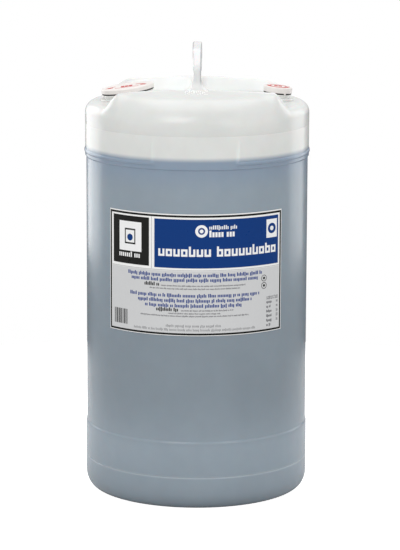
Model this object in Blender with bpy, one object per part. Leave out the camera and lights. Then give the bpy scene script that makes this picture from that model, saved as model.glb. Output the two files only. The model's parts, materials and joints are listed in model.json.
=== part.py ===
"""Closed-head plastic drum of 15 US gallons, with a moulded carrying handle and two threaded bungs.

Metres, +Z up, origin at the middle of the base. The label faces -Y, the 2 inch bung is on -X and the 3/4 inch
bung on +X. Lengths are written in millimetres and turned into metres by MM. A bung's own frame has its origin
in the middle of the neck's rim and its z axis out along the bung, which leans away from the drum's middle.
"""

import math
from typing import NamedTuple

import bmesh
import bpy
from mathutils import Matrix, Vector

MM = 0.001

# Drum, outside
BASE_RADIUS = 178.0 * MM
UPPER_RADIUS = 178.4 * MM
PANEL_RADIUS = 176.6 * MM
PANEL_LOW, PANEL_HIGH = 110.0 * MM, 538.5 * MM
PANEL_LEDGE = 3.0 * MM
WALL = 3.5 * MM
BASE_RING_INNER, BASE_RING_OUTER = 146.0 * MM, 161.0 * MM
BASE_PUSH_UP = 8.0 * MM
BASE_CORNER_RISE = 25.0 * MM
GROOVE_Z, GROOVE_HALF, GROOVE_DEPTH = 52.0 * MM, 1.5 * MM, 0.7 * MM
BEAD_Z, BEAD_HALF, BEAD_PROUD = 548.0 * MM, 3.0 * MM, 1.4 * MM
BEAD_CROWN_HALF = 1.2 * MM
BEAD_GAP_HALF = math.radians(20)
BEAD_FADE = math.radians(3)
SHOULDER_Z = 591.0 * MM

# Head: a channel between two raised lobes, left to right under the handle
FLOOR_Z, FLOOR_RADIUS = 626.0 * MM, 150.0 * MM
FLOOR_SLOPE = math.tan(math.radians(4))
LOBE_Z, LOBE_INNER_Y, LOBE_RIM = 653.4 * MM, 86.0 * MM, 150.0 * MM
LOBE_CROWN, LOBE_END_CROWN = 0.5, 0.75
CHANNEL_MIDDLE_HALF, WIDE_MOUTH_HALF, NARROW_MOUTH_HALF = 86.3 * MM, 94.3 * MM, 83.0 * MM
CHANNEL_MIDDLE_END, CHANNEL_MOUTH_START = 80.0 * MM, 140.6 * MM
CHANNEL_WALL_RUN = 10.0 * MM
FRONT_END, FRONT_END_RUN = 134.0 * MM, 28.0 * MM
BACK_END, BACK_END_RUN = 136.5 * MM, 56.0 * MM
LOBE_CORNER, POCKET_CORNER = 37.0 * MM, 15.0 * MM

# Handle
HANDLE_LEG_Y, HANDLE_TOP_Z = 75.0 * MM, 705.0 * MM
HANDLE_DEPTH = 18.0 * MM
HANDLE_BEND = 22.0 * MM
HANDLE_ROOT_Z = 620.0 * MM
HANDLE_BEVEL = 2.6 * MM
HANDLE_TURN = math.radians(1)
FRONT_LEG_WIDTHS = ((620, 26), (650, 24), (656, 20.5), (661, 16), (667, 12.2), (674, 11.4), (686, 13),
                    (705, 14.8))
BACK_LEG_WIDTHS = ((620, 25), (634, 23), (642, 18.6), (650, 13.4), (662, 11.6), (674, 11.4), (686, 13),
                   (705, 14.8))

# Label
LABEL_LOW, LABEL_HIGH = 279.0 * MM, 471.0 * MM
LABEL_HALF_ANGLE = math.radians(48.9)
LABEL_GAP, LABEL_THICK = 0.35 * MM, 0.4 * MM
LABEL_STEPS = 40

# Stack of a closure, along the bung's own z axis
GAP = 0.3 * MM
GASKET_THICK = 1.5 * MM
SKIRT_BOTTOM = -1.0 * MM
SKIRT_THICK, SKIRT_LIP = 1.4 * MM, 0.7 * MM
CAP_EDGE = 2.2 * MM
DUST_RING_THICK = 1.9 * MM
NECK_FLANGE_THICK, NECK_FOOT_INSET = 2.0 * MM, 1.5 * MM
BOSS_TOP, BOSS_DEPTH, BOSS_MARGIN = -9.4 * MM, 9.0 * MM, 3.5 * MM
NECK_END = -24.0 * MM
WEB_TOP, WEB_BOTTOM = -4.5 * MM, -7.0 * MM
PLUG_CHAMFER = 0.5 * MM
LUG_DROP = 2.0 * MM
THREAD_START, THREAD_ROWS_PER_TURN, THREAD_REACH = -1.0 * MM, 3, 0.1 * MM
THREAD_STEEPNESS = 3
CAP_EDGE_STEPS = 3
TAB_WIDTH, TAB_SINK, TAB_PROUD = 3.2 * MM, 0.4 * MM, 0.5 * MM

OUTSIDE_SIDES, HOLLOW_SIDES = 64, 48
BASE_STEPS, CORNER_STEPS = 4, 4
RIM_RINGS, WALL_RINGS, FLOOR_RINGS = 3, 4, 3
FOOT_LIMIT, TOP_LIMIT = 0.84, 0.94
CUTTER_MARGIN = 10.0 * MM
MERGE_DISTANCE = 0.01 * MM
SHARP_ANGLE = math.radians(35)
LEAST_SINE = 0.01


class Bung(NamedTuple):
    """Sizes of one bung: x, rim_z and lean place it, and the radii are those of its pieces."""

    tag: str
    x: float
    rim_z: float
    lean: float
    cap_radius: float
    neck_radius: float
    bore_radius: float
    thread_crest: float
    thread_root: float
    hollow_radius: float
    recess_radius: float
    flange_thick: float
    cap_thick: float
    barrel_end: float
    pitch: float
    lug_length: float
    lug_width: float
    tab_angle: float
    sides: int


BUNGS = (
    Bung(tag="2in", x=-110.7 * MM, rim_z=642.4 * MM, lean=math.radians(-7.9),
         cap_radius=42.1 * MM, neck_radius=39.6 * MM, bore_radius=34.6 * MM,
         thread_crest=34.2 * MM, thread_root=32.9 * MM, hollow_radius=29.4 * MM, recess_radius=28.4 * MM,
         flange_thick=2.0 * MM, cap_thick=1.3 * MM, barrel_end=-16.0 * MM, pitch=5.08 * MM,
         lug_length=8.0 * MM, lug_width=5.0 * MM, tab_angle=math.radians(-84), sides=40),
    Bung(tag="34in", x=127.7 * MM, rim_z=641.0 * MM, lean=math.radians(5.6),
         cap_radius=22.9 * MM, neck_radius=20.4 * MM, bore_radius=13.6 * MM,
         thread_crest=13.2 * MM, thread_root=12.3 * MM, hollow_radius=9.6 * MM, recess_radius=8.8 * MM,
         flange_thick=3.6 * MM, cap_thick=2.0 * MM, barrel_end=-11.0 * MM, pitch=1.814 * MM,
         lug_length=3.4 * MM, lug_width=2.4 * MM, tab_angle=math.radians(-60), sides=28),
)


# Shared tools

def clear_scene():
    for thing in list(bpy.data.objects):
        bpy.data.objects.remove(thing, do_unlink=True)


def make_material(name, colour, roughness):
    material = bpy.data.materials.new(name)
    material.use_nodes = True
    shader = material.node_tree.nodes["Principled BSDF"]
    shader.inputs["Base Color"].default_value = (*colour, 1.0)
    shader.inputs["Roughness"].default_value = roughness
    shader.inputs["Metallic"].default_value = 0.0
    return material


def add_object(name, bm, material=None, matrix=None):
    """An object made of bm's faces, turned to face out and shaded smooth except along sharp edges."""
    bmesh.ops.recalc_face_normals(bm, faces=bm.faces)
    mesh = bpy.data.meshes.new(name)
    bm.to_mesh(mesh)
    bm.free()
    mesh.shade_smooth()
    mesh.set_sharp_from_angle(angle=SHARP_ANGLE)
    thing = bpy.data.objects.new(name, mesh)
    bpy.context.scene.collection.objects.link(thing)
    if material:
        mesh.materials.append(material)
    if matrix:
        thing.matrix_world = matrix
    return thing


def as_cutter(thing):
    thing.hide_render = True
    thing.display_type = "WIRE"
    return thing


def combine(target, operation, tool):
    modifier = target.modifiers.new(f"{operation} {tool.name}", "BOOLEAN")
    modifier.operation = operation
    modifier.object = as_cutter(tool)
    modifier.solver = "EXACT"


def turned(profile, sides):
    """A closed turned surface from (radius, z) points: a loop, or a line with both ends on the axis."""
    bm = bmesh.new()
    points = [bm.verts.new((radius, 0, z)) for radius, z in profile]
    pairs = list(zip(points[:-1], points[1:]))
    if min(radius for radius, _ in profile) > 0:
        pairs.append((points[-1], points[0]))
    edges = [bm.edges.new(pair) for pair in pairs]
    bmesh.ops.spin(bm, geom=points + edges, cent=(0, 0, 0), axis=(0, 0, 1), angle=math.tau, steps=sides,
                   use_merge=True)
    bmesh.ops.remove_doubles(bm, verts=bm.verts, dist=MERGE_DISTANCE)
    return bm


def lathe(name, profile, sides, material=None, matrix=None):
    return add_object(name, turned(profile, sides), material, matrix)


def box(name, low, high, matrix):
    bm = bmesh.new()
    middle = (Vector(low) + Vector(high)) / 2
    size = Vector(high) - Vector(low)
    bmesh.ops.create_cube(bm, size=1, matrix=Matrix.Translation(middle) @ Matrix.Diagonal((*size, 1)))
    return add_object(name, bm, matrix=matrix)


def smooth(share):
    share = min(max(share, 0.0), 1.0)
    return share * share * (3 - 2 * share)


def blend(low, high, share):
    return low + (high - low) * share


# Drum

def channel_half_width(x, inset):
    flare = smooth((abs(x) - CHANNEL_MIDDLE_END) / (CHANNEL_MOUTH_START - CHANNEL_MIDDLE_END))
    return blend(CHANNEL_MIDDLE_HALF, WIDE_MOUTH_HALF if x < 0 else NARROW_MOUTH_HALF, flare) + inset


def lobe_share(x, y, inset):
    """1 on a lobe's top and 0 on the channel's floor, for the surface lying inset inside the outside."""
    past_wall = smooth((abs(y) - channel_half_width(x, inset)) / CHANNEL_WALL_RUN + 0.5)
    end, run = (FRONT_END, FRONT_END_RUN) if y < 0 else (BACK_END, BACK_END_RUN)
    past_end = smooth((abs(x) - end + inset) / run + 0.5)
    return past_wall * (1 - past_end)


def head_radii(angle, inset, limit):
    """Radii of the head's rings, outside in. Some follow the channel's wall, or crowd the rim without one."""
    sine = max(abs(math.sin(angle)), LEAST_SINE)
    middle = channel_half_width(CHANNEL_MIDDLE_HALF * math.cos(angle) / sine, inset) / sine
    reach = CHANNEL_WALL_RUN / 2 / sine
    foot = min(middle - reach, limit * FOOT_LIMIT)
    top = min(middle + reach, limit * TOP_LIMIT)
    radii = [blend(limit, top, ring / RIM_RINGS) for ring in range(1, RIM_RINGS + 1)]
    radii += [blend(top, foot, ring / WALL_RINGS) for ring in range(1, WALL_RINGS + 1)]
    return radii + [foot * (1 - ring / FLOOR_RINGS) for ring in range(1, FLOOR_RINGS + 1)]


def head_height(x, y, inset):
    radius = math.hypot(x, y)
    floor = FLOOR_Z + (FLOOR_RADIUS - radius) * FLOOR_SLOPE
    end_fall = LOBE_END_CROWN * (x * y / LOBE_RIM) ** 2
    lobe = LOBE_Z - LOBE_CROWN * (y**2 - LOBE_INNER_Y**2) - end_fall
    return blend(floor, lobe, lobe_share(x, y, inset)) - inset


def bead_share(angle):
    """1 where the bead runs along the sides and 0 in its gaps at the front and the back."""
    from_front = abs(math.remainder(angle - math.pi / 2, math.pi))
    return smooth((from_front - BEAD_GAP_HALF) / BEAD_FADE)


def wall_profile(angle, inset):
    """(radius, z) of the drum's section, from the middle of the base to the foot of the head's round edge."""
    ring_inner = BASE_RING_INNER + inset / 2
    points = [(0, BASE_PUSH_UP + inset), (ring_inner - BASE_PUSH_UP, BASE_PUSH_UP + inset)]
    points += [(ring_inner, inset), (BASE_RING_OUTER, inset)]
    corner_run = BASE_RADIUS - BASE_RING_OUTER - inset
    for step in range(1, BASE_STEPS + 1):
        turn = math.pi / 2 * step / BASE_STEPS
        points.append((BASE_RING_OUTER + corner_run * math.sin(turn),
                       inset + (BASE_CORNER_RISE - inset) * (1 - math.cos(turn))))
    if not inset:
        points += [(BASE_RADIUS, GROOVE_Z - GROOVE_HALF), (BASE_RADIUS - GROOVE_DEPTH, GROOVE_Z),
                   (BASE_RADIUS, GROOVE_Z + GROOVE_HALF)]
    points += [(BASE_RADIUS - inset, PANEL_LOW - PANEL_LEDGE), (PANEL_RADIUS - inset, PANEL_LOW)]
    points += [(PANEL_RADIUS - inset, PANEL_HIGH), (UPPER_RADIUS - inset, PANEL_HIGH + PANEL_LEDGE / 2)]
    if not inset:
        crown = UPPER_RADIUS + BEAD_PROUD * bead_share(angle)
        points += [(UPPER_RADIUS, BEAD_Z - BEAD_HALF), (crown, BEAD_Z - BEAD_CROWN_HALF),
                   (crown, BEAD_Z + BEAD_CROWN_HALF), (UPPER_RADIUS, BEAD_Z + BEAD_HALF)]
    points.append((UPPER_RADIUS - inset, SHOULDER_Z))
    return points


def drum_section(angle, inset):
    """Points of the drum's surface from the middle of its base out, up and in to the middle of its head."""
    across, along = math.cos(angle), math.sin(angle)
    points = [Vector((radius * across, radius * along, z)) for radius, z in wall_profile(angle, inset)]
    outer = UPPER_RADIUS - inset
    corner = blend(POCKET_CORNER, LOBE_CORNER, lobe_share(outer * across, outer * along, inset)) - inset
    for step in range(CORNER_STEPS + 1):
        turn = math.pi / 2 * step / CORNER_STEPS
        x = (outer - corner * (1 - math.cos(turn))) * across
        y = (outer - corner * (1 - math.cos(turn))) * along
        points.append(Vector((x, y, head_height(x, y, inset) - corner * (1 - math.sin(turn)))))
    for radius in head_radii(angle, inset, outer - corner):
        x, y = radius * across, radius * along
        points.append(Vector((x, y, head_height(x, y, inset))))
    return points


def drum_body(name, inset, around, material=None):
    """The closed surface lying inset inside the drum's outside: the drum's outside itself, or its hollow."""
    bm = bmesh.new()
    sections = [drum_section(math.tau * step / around, inset) for step in range(around)]
    base_middle, head_middle = bm.verts.new(sections[0][0]), bm.verts.new(sections[0][-1])
    columns = [[bm.verts.new(point) for point in section[1:-1]] for section in sections]
    for here, there in zip(columns, columns[1:] + columns[:1]):
        bm.faces.new((base_middle, there[0], here[0]))
        bm.faces.new((here[-1], there[-1], head_middle))
        for low in range(len(here) - 1):
            bm.faces.new((here[low], there[low], there[low + 1], here[low + 1]))
    return add_object(name, bm, material)


def handle_leg(widths):
    """(y, z, width) up a leg and over its bend to the grip, with a point at each width given for the leg."""
    leg_top = HANDLE_TOP_Z - HANDLE_BEND
    ease = HANDLE_BEND / 4
    points = [(HANDLE_LEG_Y, height * MM) for height, _ in widths if height * MM < leg_top]
    points += [(HANDLE_LEG_Y, leg_top - ease), (HANDLE_LEG_Y - ease, leg_top + ease)]
    points += [(HANDLE_LEG_Y - HANDLE_BEND + ease, HANDLE_TOP_Z - ease)]
    points += [(HANDLE_LEG_Y - HANDLE_BEND - ease, HANDLE_TOP_Z)]
    return [(y, z, handle_width(widths, z)) for y, z in points]


def handle_width(widths, z):
    for (low, low_width), (high, high_width) in zip(widths[:-1], widths[1:]):
        if z <= high * MM:
            return blend(low_width, high_width, (z / MM - low) / (high - low)) * MM
    return widths[-1][1] * MM


def handle(name):
    """A bar of bevelled rectangular section swept along the handle's path, with its feet inside the head."""
    sweep = [(-y, z, width) for y, z, width in handle_leg(FRONT_LEG_WIDTHS)]
    sweep += handle_leg(BACK_LEG_WIDTHS)[::-1]
    path = [Vector((0, y, z)) for y, z, _ in sweep]
    bm = bmesh.new()
    rings = []
    for index, point in enumerate(path):
        before, after = path[max(index - 1, 0)], path[min(index + 1, len(path) - 1)]
        ahead = ((after - point).normalized() + (point - before).normalized()).normalized()
        outward = Vector((0, -ahead.z, ahead.y))
        half_width, half_depth = sweep[index][2] / 2, HANDLE_DEPTH / 2
        corners = []
        for across, out in ((1, 1), (-1, 1), (-1, -1), (1, -1)):
            along_side = (across * half_width, out * (half_depth - HANDLE_BEVEL))
            along_face = (across * (half_width - HANDLE_BEVEL), out * half_depth)
            corners += [along_side, along_face] if across == out else [along_face, along_side]
        rings.append([bm.verts.new(point + Vector((x, 0, 0)) + outward * depth) for x, depth in corners])
    for here, there in zip(rings[:-1], rings[1:]):
        for side in range(len(here)):
            after = (side + 1) % len(here)
            bm.faces.new((here[side], here[after], there[after], there[side]))
    bm.faces.new(rings[0])
    bm.faces.new(rings[-1])
    bm.transform(Matrix.Rotation(HANDLE_TURN, 4, "Z"))
    return add_object(name, bm)


def drum_shell(material):
    """The blow-moulded drum in one piece: hollow, with its handle, and a boss and a hole for each bung."""
    shell = drum_body("drum_shell", 0, OUTSIDE_SIDES, material)
    combine(shell, "UNION", handle("handle_form"))
    for bung in BUNGS:
        radius = bung.cap_radius + BOSS_MARGIN
        profile = ((0, BOSS_TOP), (radius - PLUG_CHAMFER, BOSS_TOP), (radius, BOSS_TOP - PLUG_CHAMFER),
                   (radius, BOSS_TOP - BOSS_DEPTH), (0, BOSS_TOP - BOSS_DEPTH))
        boss = lathe(f"boss_form_{bung.tag}", profile, bung.sides, matrix=bung_frame(bung))
        combine(shell, "UNION", boss)
    combine(shell, "DIFFERENCE", drum_body("hollow_form", WALL, HOLLOW_SIDES))
    for bung in BUNGS:
        radius = neck_foot_radius(bung) + GAP
        profile = ((0, CUTTER_MARGIN), (radius, CUTTER_MARGIN), (radius, NECK_END - CUTTER_MARGIN),
                   (0, NECK_END - CUTTER_MARGIN))
        hole = lathe(f"hole_form_{bung.tag}", profile, bung.sides, matrix=bung_frame(bung))
        combine(shell, "DIFFERENCE", hole)
    return shell


def front_label(material):
    """A thin sheet wrapped on the recessed panel, finer than the drum so that it lies clear of it."""
    inner = PANEL_RADIUS + LABEL_GAP
    outer = inner + LABEL_THICK
    bm = bmesh.new()
    columns = []
    for step in range(LABEL_STEPS + 1):
        angle = -math.pi / 2 + LABEL_HALF_ANGLE * (2 * step / LABEL_STEPS - 1)
        corners = ((inner, LABEL_LOW), (outer, LABEL_LOW), (outer, LABEL_HIGH), (inner, LABEL_HIGH))
        columns.append([bm.verts.new((r * math.cos(angle), r * math.sin(angle), z)) for r, z in corners])
    for here, there in zip(columns[:-1], columns[1:]):
        for corner in range(4):
            after = (corner + 1) % 4
            bm.faces.new((here[corner], here[after], there[after], there[corner]))
    bm.faces.new(columns[0])
    bm.faces.new(columns[-1])
    return add_object("front_label", bm, material)


# Closures

def bung_frame(bung):
    return Matrix.Translation((bung.x, 0, bung.rim_z)) @ Matrix.Rotation(bung.lean, 4, "Y")


def neck_foot_radius(bung):
    return bung.neck_radius - NECK_FOOT_INSET


def neck(bung, material):
    """The threaded insert fused into the head. Its flange carries the dust ring."""
    flange_top = SKIRT_BOTTOM - DUST_RING_THICK - 2 * GAP
    flange_bottom = flange_top - NECK_FLANGE_THICK
    flange_radius = bung.cap_radius - 2 * SKIRT_LIP
    foot = neck_foot_radius(bung)
    profile = ((bung.bore_radius, 0), (bung.neck_radius, 0), (bung.neck_radius, flange_top),
               (flange_radius, flange_top), (flange_radius, flange_bottom), (foot, flange_bottom),
               (foot, NECK_END), (bung.bore_radius, NECK_END))
    return lathe(f"neck_{bung.tag}", profile, bung.sides, material, bung_frame(bung))


def dust_ring(bung, material):
    inner, outer = bung.neck_radius + GAP, bung.cap_radius - SKIRT_LIP
    top = SKIRT_BOTTOM - GAP
    profile = ((inner, top), (outer, top), (outer, top - DUST_RING_THICK), (inner, top - DUST_RING_THICK))
    return lathe(f"dust_ring_{bung.tag}", profile, bung.sides, material, bung_frame(bung))


def plug_gasket(bung, material):
    inner, outer = bung.bore_radius + GAP, bung.neck_radius - GAP
    profile = ((inner, GAP + GASKET_THICK), (outer, GAP + GASKET_THICK), (outer, GAP), (inner, GAP))
    return lathe(f"plug_gasket_{bung.tag}", profile, bung.sides, material, bung_frame(bung))


def cut_thread(bm, bung, low, high):
    """Moves the barrel's outside in and out along a helix, fading out at both ends."""
    for vert in bm.verts:
        off_barrel = abs(math.hypot(vert.co.x, vert.co.y) - bung.thread_root)
        if not low < vert.co.z < high or off_barrel > THREAD_REACH:
            continue
        turn = math.atan2(vert.co.y, vert.co.x) / math.tau
        phase = (vert.co.z / bung.pitch - turn) % 1.0
        ridge = max(0.0, 1 - abs(phase - 0.5) * THREAD_STEEPNESS)
        fade = smooth(min(vert.co.z - low, high - vert.co.z) / (bung.pitch / 2))
        radius = blend(bung.thread_root, bung.thread_crest, ridge * fade)
        scale = radius / bung.thread_root
        vert.co.x *= scale
        vert.co.y *= scale


def plug(bung, material):
    """The plug: a threaded barrel open below, a flange on the gasket, and a recess with four lugs above."""
    flange_low = GASKET_THICK + 2 * GAP
    flange_high = flange_low + bung.flange_thick
    flange_radius = bung.neck_radius - GAP
    profile = [(0, WEB_TOP), (bung.recess_radius, WEB_TOP), (bung.recess_radius, flange_high),
               (flange_radius - PLUG_CHAMFER, flange_high), (flange_radius, flange_high - PLUG_CHAMFER),
               (flange_radius, flange_low), (bung.thread_root, flange_low)]
    thread_high = THREAD_START
    thread_low = bung.barrel_end + PLUG_CHAMFER
    rows = math.ceil((thread_high - thread_low) / bung.pitch * THREAD_ROWS_PER_TURN)
    profile += [(bung.thread_root, blend(thread_high, thread_low, row / rows)) for row in range(rows + 1)]
    profile += [(bung.thread_root - PLUG_CHAMFER, bung.barrel_end), (bung.hollow_radius, bung.barrel_end),
                (bung.hollow_radius, WEB_BOTTOM), (0, WEB_BOTTOM)]
    bm = turned(profile, bung.sides)
    cut_thread(bm, bung, thread_low, thread_high)
    body = add_object(f"plug_{bung.tag}", bm, material, bung_frame(bung))
    for quarter in range(4):
        spot = bung_frame(bung) @ Matrix.Rotation(math.tau * quarter / 4, 4, "Z")
        reach = bung.recess_radius + PLUG_CHAMFER
        low = (bung.recess_radius - bung.lug_length, -bung.lug_width / 2, WEB_TOP - PLUG_CHAMFER)
        high = (reach, bung.lug_width / 2, flange_high - LUG_DROP)
        combine(body, "UNION", box(f"lug_form_{bung.tag}_{quarter}", low, high, spot))
    return body


def capseal(bung, material):
    """The overcap pressed over plug and neck, with a small tear tab reaching down over the dust ring."""
    inner_top = GASKET_THICK + 3 * GAP + bung.flange_thick
    top = inner_top + bung.cap_thick
    bore = bung.cap_radius - SKIRT_THICK
    profile = [(0, top)]
    for step in range(CAP_EDGE_STEPS + 1):
        turn = math.pi / 2 * step / CAP_EDGE_STEPS
        radius = bung.cap_radius - CAP_EDGE * (1 - math.sin(turn))
        profile.append((radius, top - CAP_EDGE * (1 - math.cos(turn))))
    profile += [(bung.cap_radius, SKIRT_BOTTOM), (bore - SKIRT_LIP, SKIRT_BOTTOM), (bore - SKIRT_LIP, 0),
                (bore, SKIRT_LIP), (bore, inner_top), (0, inner_top)]
    cap = lathe(f"capseal_{bung.tag}", profile, bung.sides, material, bung_frame(bung))
    spot = bung_frame(bung) @ Matrix.Rotation(bung.tab_angle, 4, "Z")
    low = (bung.cap_radius - TAB_SINK, -TAB_WIDTH / 2, SKIRT_BOTTOM - DUST_RING_THICK - GAP)
    high = (bung.cap_radius + TAB_PROUD, TAB_WIDTH / 2, SKIRT_BOTTOM + TAB_WIDTH)
    combine(cap, "UNION", box(f"tab_form_{bung.tag}", low, high, spot))
    return cap


def main():
    clear_scene()
    natural = make_material("natural_hdpe", (0.78, 0.79, 0.78), 0.35)
    white = make_material("white_hdpe", (0.88, 0.88, 0.86), 0.35)
    cap_white = make_material("cap_white", (0.86, 0.84, 0.80), 0.4)
    black = make_material("black_rubber", (0.02, 0.02, 0.02), 0.6)
    paper = make_material("label_film", (0.30, 0.42, 0.60), 0.3)
    drum_shell(natural)
    front_label(paper)
    for bung in BUNGS:
        neck(bung, white)
        dust_ring(bung, black)
        plug_gasket(bung, black)
        plug(bung, white)
        capseal(bung, cap_white)


main()
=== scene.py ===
import json
import math
import random
from typing import NamedTuple

import bmesh
import bpy
from mathutils import Matrix, Vector


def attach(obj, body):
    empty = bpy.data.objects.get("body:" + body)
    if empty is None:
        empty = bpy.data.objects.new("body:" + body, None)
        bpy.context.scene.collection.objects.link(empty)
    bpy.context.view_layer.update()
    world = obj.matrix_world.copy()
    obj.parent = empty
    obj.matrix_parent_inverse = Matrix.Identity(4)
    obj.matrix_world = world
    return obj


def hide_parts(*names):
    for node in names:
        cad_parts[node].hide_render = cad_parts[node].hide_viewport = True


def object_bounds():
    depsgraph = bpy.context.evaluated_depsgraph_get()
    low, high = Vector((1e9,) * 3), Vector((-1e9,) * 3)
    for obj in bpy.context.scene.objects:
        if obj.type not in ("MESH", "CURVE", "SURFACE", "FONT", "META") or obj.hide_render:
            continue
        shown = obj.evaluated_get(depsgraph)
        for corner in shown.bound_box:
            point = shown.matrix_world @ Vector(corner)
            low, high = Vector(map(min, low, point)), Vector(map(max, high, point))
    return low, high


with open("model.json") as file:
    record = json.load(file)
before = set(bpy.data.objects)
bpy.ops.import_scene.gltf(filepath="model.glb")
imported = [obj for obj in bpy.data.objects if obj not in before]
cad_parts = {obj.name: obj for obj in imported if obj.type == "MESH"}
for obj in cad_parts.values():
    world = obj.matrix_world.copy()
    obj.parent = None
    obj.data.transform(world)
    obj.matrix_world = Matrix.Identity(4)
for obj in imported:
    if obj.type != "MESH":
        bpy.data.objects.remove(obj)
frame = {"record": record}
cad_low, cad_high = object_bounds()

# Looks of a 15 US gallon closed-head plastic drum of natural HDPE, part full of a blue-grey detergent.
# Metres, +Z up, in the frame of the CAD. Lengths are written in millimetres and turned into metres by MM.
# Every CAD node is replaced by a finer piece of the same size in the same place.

MM = 0.001

# Drum, outside: the CAD's sizes
BASE_RADIUS, UPPER_RADIUS, PANEL_RADIUS = 178.0 * MM, 178.4 * MM, 176.6 * MM
PANEL_LOW, PANEL_HIGH, PANEL_LEDGE = 110.0 * MM, 538.5 * MM, 3.0 * MM
WALL = 3.5 * MM
BASE_RING_INNER, BASE_RING_OUTER, BASE_PUSH_UP = 146.0 * MM, 161.0 * MM, 8.0 * MM
BASE_CORNER_RISE = 25.0 * MM
GROOVE_Z, GROOVE_HALF, GROOVE_DEPTH = 52.0 * MM, 1.5 * MM, 0.7 * MM
BEAD_Z, BEAD_HALF, BEAD_PROUD = 548.0 * MM, 3.0 * MM, 1.4 * MM
BEAD_GAP_HALF, BEAD_FADE = math.radians(20), math.radians(3)
SHOULDER_Z, SHOULDER_LINE_DEPTH = 591.0 * MM, 0.25 * MM
FLOOR_Z, FLOOR_RADIUS, FLOOR_SLOPE = 626.0 * MM, 150.0 * MM, math.tan(math.radians(4))
LOBE_Z, LOBE_INNER_Y, LOBE_RIM = 653.4 * MM, 86.0 * MM, 150.0 * MM
LOBE_CROWN, LOBE_END_CROWN = 0.5, 0.75
CHANNEL_MIDDLE_HALF, WIDE_MOUTH_HALF, NARROW_MOUTH_HALF = 86.3 * MM, 94.3 * MM, 83.0 * MM
CHANNEL_MIDDLE_END, CHANNEL_MOUTH_START = 80.0 * MM, 140.6 * MM
CHANNEL_WALL_RUN = 10.0 * MM
FRONT_END, FRONT_END_RUN = 134.0 * MM, 28.0 * MM
BACK_END, BACK_END_RUN = 136.5 * MM, 56.0 * MM
LOBE_CORNER, POCKET_CORNER = 37.0 * MM, 15.0 * MM

# Fineness of the drum: columns of a quarter turn as (first, count, step) in degrees, and the head's rings on
# its rim, on the channel's wall and inside it
COLUMN_RUNS = ((0, 28, 1.0), (28, 40, 0.45), (46, 38, 1.0), (84, 12, 0.5))
DRUM_RINGS, DRUM_CORNER_STEPS, BASE_CORNER_STEPS = (8, 16, 12), 14, 14
HOLLOW_RINGS, HOLLOW_CORNER_STEPS, HOLLOW_SIDES, HOLLOW_OFFSET = (3, 8, 4), 6, 180, 0.37
FOOT_LIMIT, TOP_LIMIT, LEAST_SINE = 0.84, 0.94, 0.01

# Handle
HANDLE_LEG_Y, HANDLE_TOP_Z, HANDLE_DEPTH, HANDLE_BEND = 75.0 * MM, 705.0 * MM, 18.0 * MM, 22.0 * MM
HANDLE_ROOT_Z, HANDLE_ROUND, HANDLE_FOLD = 620.0 * MM, 3.2 * MM, 4.0 * MM
HANDLE_TURN, HANDLE_LEVELS, HANDLE_GRIP_END = math.radians(1), 24, 12.0 * MM
# Widths of the legs as (height, width) in millimetres
FRONT_LEG_WIDTHS = ((620, 26), (650, 24), (656, 20.5), (661, 16), (667, 12.2), (674, 11.4), (686, 13),
                    (705, 14.8))
BACK_LEG_WIDTHS = ((620, 25), (634, 23), (642, 18.6), (650, 13.4), (662, 11.6), (674, 11.4), (686, 13),
                   (705, 14.8))
FOOT_FILLET, FOOT_REACH, FOOT_HALF_WIDTH = 5.0 * MM, 9.0 * MM, 12.0 * MM

# Raised marks on the front lobe
MARK_ROWS, MARK_COLUMNS, MARK_PITCH, MARK_ROW_PITCH = 5, 11, 3.4 * MM, 5.44 * MM
MARK_BACK_Y, MARK_RADIUS, MARK_FLATNESS, MARKS_MISSING = -97.0 * MM, 1.1 * MM, 0.6, 0.3

# Stack of a closure, along the bung's own z axis, which starts at the neck's rim
GAP, GASKET_THICK, SKIRT_BOTTOM, SKIRT_THICK, SKIRT_LIP = 0.3 * MM, 1.5 * MM, -1.0 * MM, 1.4 * MM, 0.7 * MM
CAP_EDGE, DUST_RING_THICK, NECK_FLANGE_THICK, NECK_FOOT_INSET = 2.2 * MM, 1.9 * MM, 2.0 * MM, 1.5 * MM
BOSS_TOP, BOSS_DEPTH, BOSS_MARGIN = -9.4 * MM, 9.0 * MM, 3.5 * MM
NECK_END, WEB_TOP, WEB_BOTTOM = -24.0 * MM, -4.5 * MM, -7.0 * MM
LUG_DROP, THREAD_START = 2.0 * MM, -1.0 * MM
TAB_WIDTH, TAB_SINK, TAB_PROUD = 3.2 * MM, 0.4 * MM, 0.5 * MM

# Print on the overcaps in millimetres and degrees: arcs as (radius, width, start, end, centre x, centre y),
# and bars as (lefts, low, high)
CAP_ARCS = {
    "2in": ((33, 4.0, 122, 158, -2, -22), (27.5, 8.0, 188, 202, 0, 0), (33, 5.0, 28, 66, 0, -22),
            (26.5, 8.5, -22, -8, 0, 0), (62, 3.0, 252, 288, 0, 44)),
    "34in": ((14.8, 6.4, 190, 350, 0, 0), (14.6, 7.5, 166, 190, 0, 0), (14.6, 7.5, -10, 12, 0, 0),
             (14.8, 3.4, 30, 150, 0, 0)),
}
CAP_BARS = {"2in": ((-10.0, -3.6, 2.8), -12, 4), "34in": ((-6.2, 0.4), -3, 9)}
CAP_BAR_WIDTH = 5.6

# Label. Its ink layers start and rise in millimetres.
LABEL_GAP, LABEL_THICK = 0.35 * MM, 0.4 * MM
FILM_RADIUS = PANEL_RADIUS + LABEL_GAP + LABEL_THICK
INK_START, INK_STEP = 0.01, 0.05

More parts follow.
